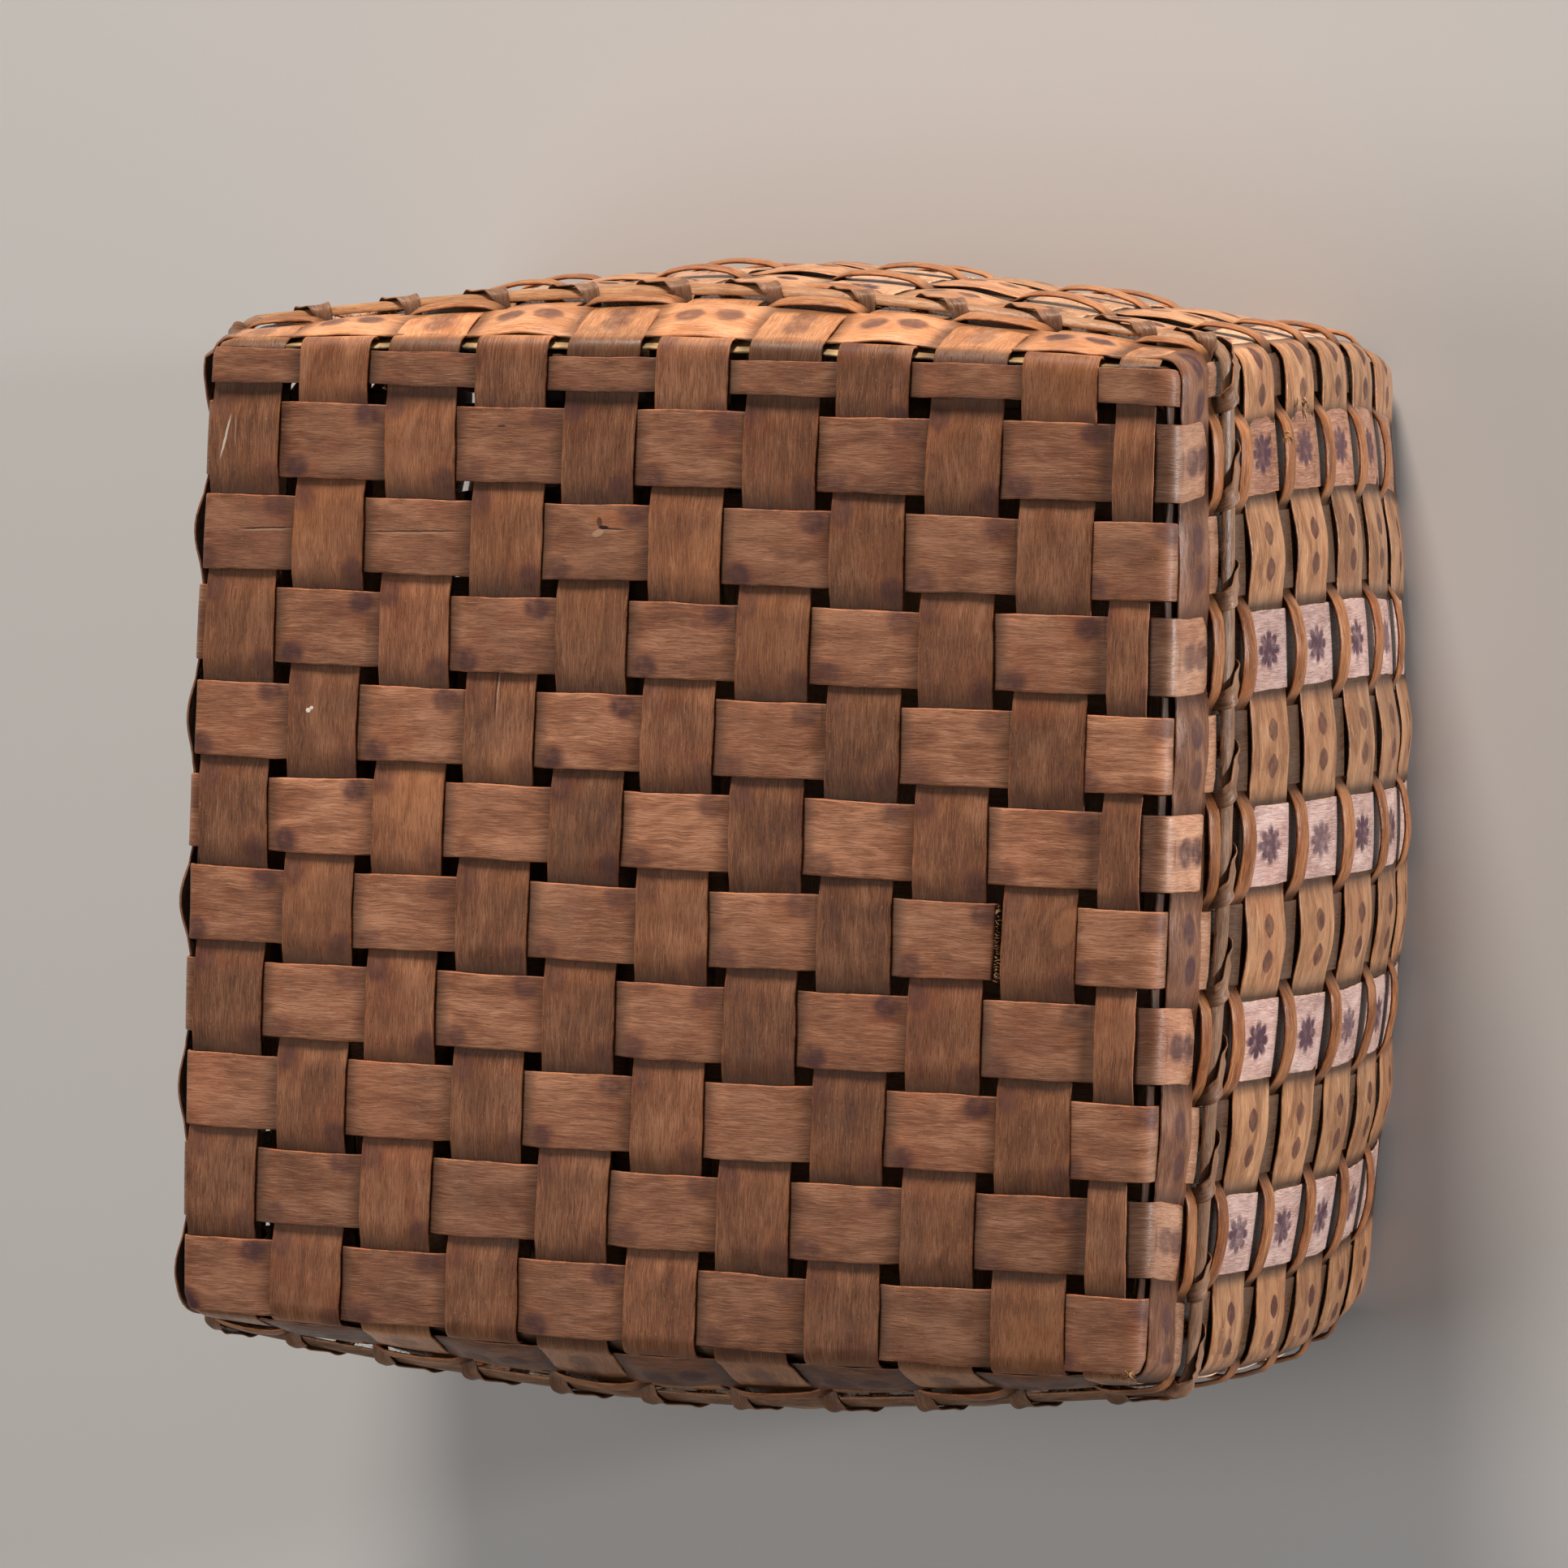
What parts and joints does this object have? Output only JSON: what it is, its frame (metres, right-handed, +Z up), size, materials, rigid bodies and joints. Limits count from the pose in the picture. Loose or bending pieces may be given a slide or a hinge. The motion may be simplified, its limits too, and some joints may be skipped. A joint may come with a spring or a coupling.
{
  "type": "woven splint basket with lid",
  "caption": "Square covered storage basket woven from flat wood splints, with wide and narrow weavers by turns, stamped spots and a lashed rim on a lift-off lid.",
  "frame": {"origin": "middle of the underside, on the surface that the basket stands on", "axes": "+Z up through the lid, +X and +Y along the two ways that the base splints run"},
  "size_m": [0.375, 0.3792, 0.285],
  "materials": {
    "body_splints": "aged split ash, satin, fine lengthwise fibres, a paler pinkish face with purple-brown stamps",
    "lid_splints": "aged split ash, mid brown, fine lengthwise fibres, dark purple-brown smudges",
    "wide_weavers": "aged split ash, warm tan, satin, oval purple-brown stamps",
    "narrow_weavers": "aged split ash, warm tan, satin",
    "body_hoops": "shaved ash hoop, satin",
    "lid_hoops": "shaved half-round ash hoop, handled to a soft gloss",
    "lashing": "narrow split ash strip, satin"
  },
  "bodies": {
    "basket": {"body_inner_hoop": "body_hoops", "body_narrow_weaver_1": "narrow_weavers", "body_narrow_weaver_2": "narrow_weavers", "body_narrow_weaver_3": "narrow_weavers", "body_narrow_weaver_4": "narrow_weavers", "body_narrow_weaver_5": "narrow_weavers", "body_outer_hoop": "body_hoops", "body_splint_x01": "body_splints", "body_splint_x02": "body_splints", "body_splint_x03": "body_splints", "body_splint_x04": "body_splints", "body_splint_x05": "body_splints", "body_splint_x06": "body_splints", "body_splint_x07": "body_splints", "body_splint_x08": "body_splints", "body_splint_x09": "body_splints", "body_splint_x10": "body_splints", "body_splint_x11": "body_splints", "body_splint_y01": "body_splints", "body_splint_y02": "body_splints", "body_splint_y03": "body_splints", "body_splint_y04": "body_splints", "body_splint_y05": "body_splints", "body_splint_y06": "body_splints", "body_splint_y07": "body_splints", "body_splint_y08": "body_splints", "body_splint_y09": "body_splints", "body_splint_y10": "body_splints", "body_splint_y11": "body_splints", "body_wide_weaver_1": "wide_weavers", "body_wide_weaver_2": "wide_weavers", "body_wide_weaver_3": "wide_weavers", "body_wide_weaver_4": "wide_weavers", "body_wide_weaver_5": "wide_weavers"},
    "lid": {"lid_inner_hoop": "lid_hoops", "lid_lashing": "lashing", "lid_outer_hoop": "lid_hoops", "lid_side_weaver": "wide_weavers", "lid_splint_x01": "lid_splints", "lid_splint_x02": "lid_splints", "lid_splint_x03": "lid_splints", "lid_splint_x04": "lid_splints", "lid_splint_x05": "lid_splints", "lid_splint_x06": "lid_splints", "lid_splint_x07": "lid_splints", "lid_splint_x08": "lid_splints", "lid_splint_x09": "lid_splints", "lid_splint_x10": "lid_splints", "lid_splint_x11": "lid_splints", "lid_splint_y01": "lid_splints", "lid_splint_y02": "lid_splints", "lid_splint_y03": "lid_splints", "lid_splint_y04": "lid_splints", "lid_splint_y05": "lid_splints", "lid_splint_y06": "lid_splints", "lid_splint_y07": "lid_splints", "lid_splint_y08": "lid_splints", "lid_splint_y09": "lid_splints", "lid_splint_y10": "lid_splints", "lid_splint_y11": "lid_splints"}
  },
  "joints": [
    {"name": "lid_lift", "type": "slide", "parent": "basket", "child": "lid", "axis": [0, 0, 1], "range_m": [0, 0.35]}
  ]
}
